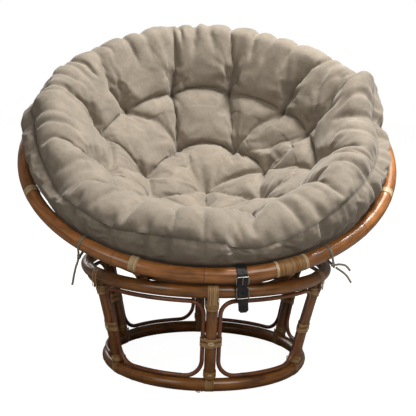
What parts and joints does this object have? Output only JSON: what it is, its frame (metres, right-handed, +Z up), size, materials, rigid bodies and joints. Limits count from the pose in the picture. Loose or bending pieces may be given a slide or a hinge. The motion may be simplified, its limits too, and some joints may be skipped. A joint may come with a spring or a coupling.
{
  "type": "papasan chair",
  "caption": "Round lounge chair: a deep tufted cushion in a rattan bowl that rests tilted on a drum-shaped rattan base and is held by a buckled strap.",
  "frame": {"origin": "middle of the underside of the whole chair, on the floor, the hanging tape ends left out", "axes": "+Z up, -Y towards the front of the seat, +X to the right as seen from the front"},
  "size_m": [1.0976, 0.958, 0.9702],
  "materials": {
    "rattan": "satin lacquer, warm brown, with nodes",
    "dark_rattan": "satin lacquer, dark reddish brown",
    "peel": "split rattan peel, satin",
    "suede": "taupe microsuede with a soft sheen",
    "tape": "dull woven cotton tape",
    "leather": "black, lightly grained",
    "nickel": "polished nickel plate",
    "clear_plastic": "clear, smooth"
  },
  "bodies": {
    "base": {"floor_hoop": "dark_rattan", "top_hoop": "dark_rattan", "post_1": "dark_rattan", "post_2": "dark_rattan", "post_3": "dark_rattan", "post_4": "dark_rattan", "post_5": "dark_rattan", "post_6": "dark_rattan", "infill_rod_1": "dark_rattan", "infill_rod_2": "dark_rattan", "infill_rod_3": "dark_rattan", "infill_rod_4": "dark_rattan", "infill_rod_5": "dark_rattan", "infill_rod_6": "dark_rattan", "floor_wrap_1": "peel", "floor_wrap_2": "peel", "floor_wrap_3": "peel", "floor_wrap_4": "peel", "floor_wrap_5": "peel", "floor_wrap_6": "peel", "waist_wrap_1": "peel", "waist_wrap_2": "peel", "waist_wrap_3": "peel", "waist_wrap_4": "peel", "waist_wrap_5": "peel", "waist_wrap_6": "peel", "top_wrap_1": "peel", "top_wrap_2": "peel", "top_wrap_3": "peel", "top_wrap_4": "peel", "top_wrap_5": "peel", "top_wrap_6": "peel", "glide_1": "clear_plastic", "glide_2": "clear_plastic", "glide_3": "clear_plastic", "glide_4": "clear_plastic"},
    "strap_loop": {"strap_hoop_loop": "leather"},
    "bowl": {"rim_hoop": "rattan", "middle_hoop": "rattan", "bottom_hoop": "rattan", "rib_1": "rattan", "rib_2": "rattan", "rib_3": "rattan", "rib_4": "rattan", "rib_5": "rattan", "rib_6": "rattan", "rib_7": "rattan", "rib_8": "rattan", "rim_splice_wrap": "peel", "cushion": "suede", "cushion_tie_left": "tape", "tie_tail_left_1": "tape", "cushion_tie_right": "tape", "tie_tail_right_1": "tape", "tie_tail_right_2": "tape"},
    "strap": {"strap_belt": "leather", "strap_buckle": "nickel", "strap_frame": "nickel"},
    "prong": {"strap_prong": "nickel"}
  },
  "joints": [
    {"name": "bowl_swivel", "type": "hinge", "parent": "base", "child": "strap_loop", "pos_m": [0.00333, -0.1064, 0.78496], "axis": [0, 0, 1], "range_deg": [-5.5, 42]},
    {"name": "bowl_tilt", "type": "hinge", "parent": "strap_loop", "child": "bowl", "pos_m": [0.00333, -0.1064, 0.78496], "axis": [1, 0, 0], "range_deg": [-30.5, 0]},
    {"name": "strap_swing", "type": "hinge", "parent": "bowl", "child": "strap", "pos_m": [0.09168, -0.44627, 0.3331], "axis": [-0.9848, -0.157, -0.0745], "range_deg": [0, 70]},
    {"name": "prong_swing", "type": "hinge", "parent": "strap", "child": "prong", "pos_m": [0.09575, -0.46108, 0.31053], "axis": [0.9848, 0.157, 0.0745], "range_deg": [0, 90]}
  ]
}
